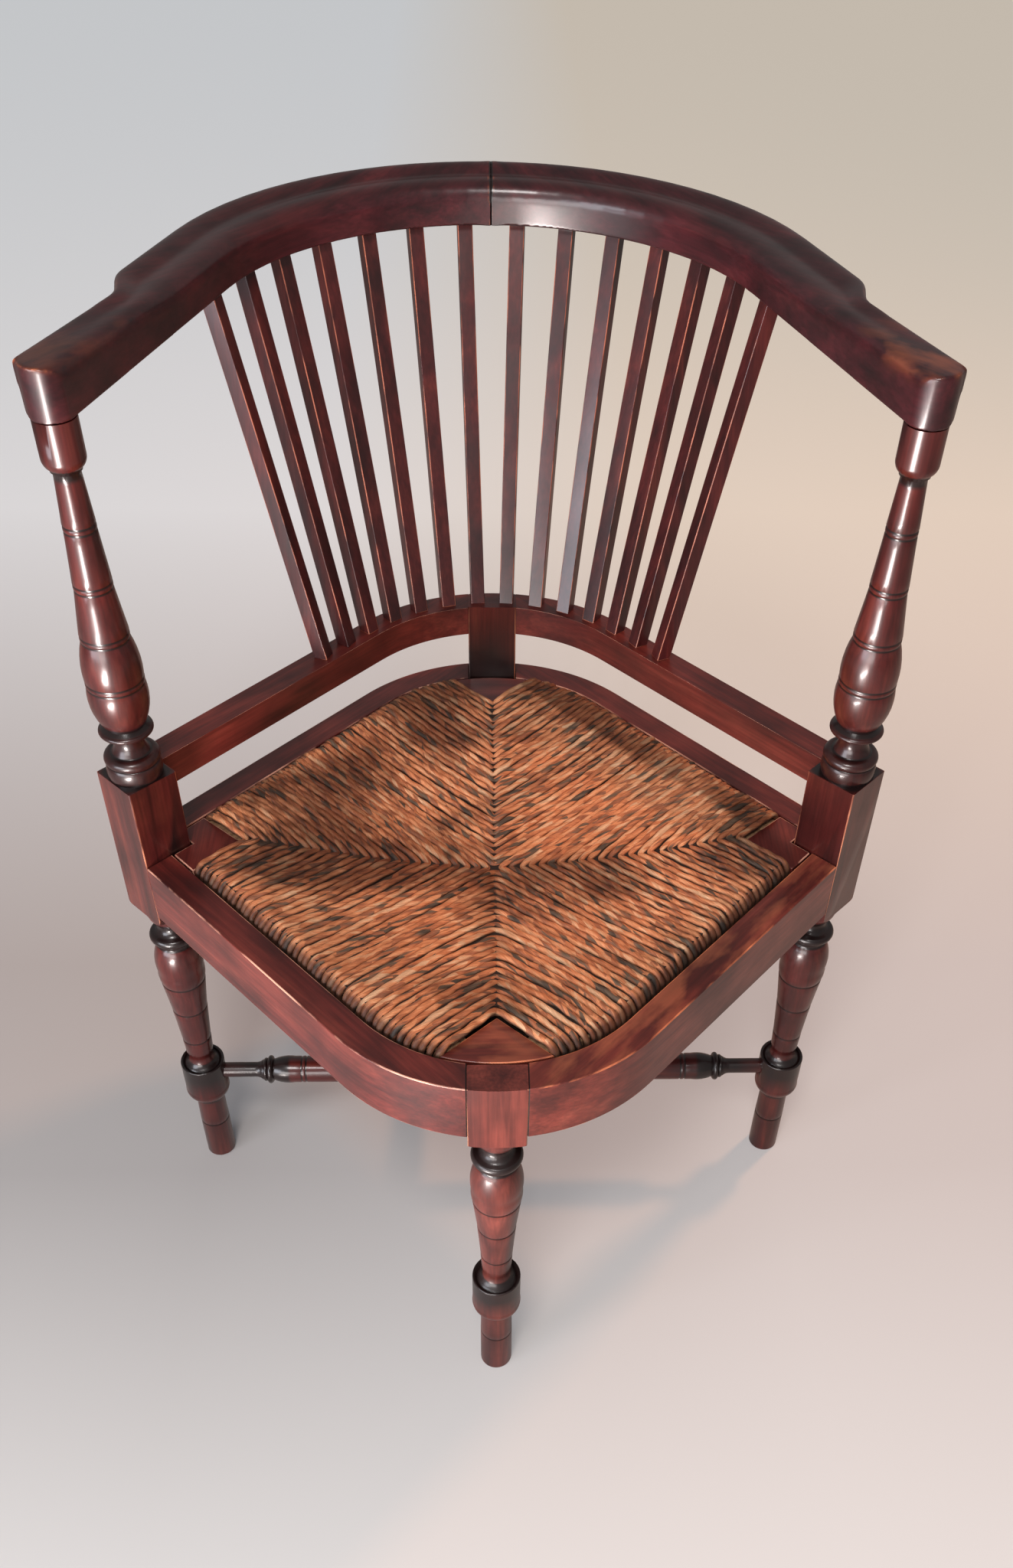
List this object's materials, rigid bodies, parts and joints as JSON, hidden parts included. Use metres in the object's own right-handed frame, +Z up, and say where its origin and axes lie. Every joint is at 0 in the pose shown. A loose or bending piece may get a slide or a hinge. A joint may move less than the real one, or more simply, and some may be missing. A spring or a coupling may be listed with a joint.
{
  "type": "corner_chair",
  "caption": "Corner chair with turned posts and legs, crossed stretchers, a bowed spindle back and a drop-in rush seat",
  "frame": {"origin": "centre of the bounding box in X and Y, on the floor at Z = 0", "axes": "+Z up; -Y is forward, over the front leg; +X runs towards the right-hand arm as seen from the front"},
  "size_m": [0.637, 0.6722, 0.825],
  "materials": {
    "shellacked_wood": "stained red-brown hardwood under shellac, worn on the edges",
    "turned_wood": "turned hardwood, stained dark red-brown and polished with shellac",
    "rush": "twisted rush strands, natural tan and brown, uncoated",
    "raw_wood": "sawn hardwood, unfinished"
  },
  "bodies": {
    "frame": {"corner_bracket_left": "raw_wood", "corner_bracket_right": "raw_wood", "crest_dowels": "raw_wood", "crest_rail_left": "shellacked_wood", "crest_rail_right": "shellacked_wood", "front_leg": "turned_wood", "front_rear_stretcher": "turned_wood", "mid_rail_left": "shellacked_wood", "mid_rail_right": "shellacked_wood", "rear_leg": "turned_wood", "seat_rail_front_left": "shellacked_wood", "seat_rail_front_right": "shellacked_wood", "seat_rail_rear_left": "shellacked_wood", "seat_rail_rear_right": "shellacked_wood", "side_post_left": "turned_wood", "side_post_right": "turned_wood", "side_stretcher": "turned_wood", "spindle_left_1": "shellacked_wood", "spindle_left_2": "shellacked_wood", "spindle_left_3": "shellacked_wood", "spindle_left_4": "shellacked_wood", "spindle_left_5": "shellacked_wood", "spindle_left_6": "shellacked_wood", "spindle_left_7": "shellacked_wood", "spindle_right_1": "shellacked_wood", "spindle_right_2": "shellacked_wood", "spindle_right_3": "shellacked_wood", "spindle_right_4": "shellacked_wood", "spindle_right_5": "shellacked_wood", "spindle_right_6": "shellacked_wood", "spindle_right_7": "shellacked_wood"},
    "seat": {"rush_seat": "rush", "seat_corner_front": "shellacked_wood", "seat_corner_left": "shellacked_wood", "seat_corner_rear": "shellacked_wood", "seat_corner_right": "shellacked_wood", "seat_frame_front_left": "raw_wood", "seat_frame_front_right": "raw_wood", "seat_frame_rear_left": "raw_wood", "seat_frame_rear_right": "raw_wood"}
  },
  "joints": [
    {"name": "seat_lift", "type": "slide", "parent": "frame", "child": "seat", "axis": [0, 0, 1], "range_m": [0, 0.12]}
  ]
}
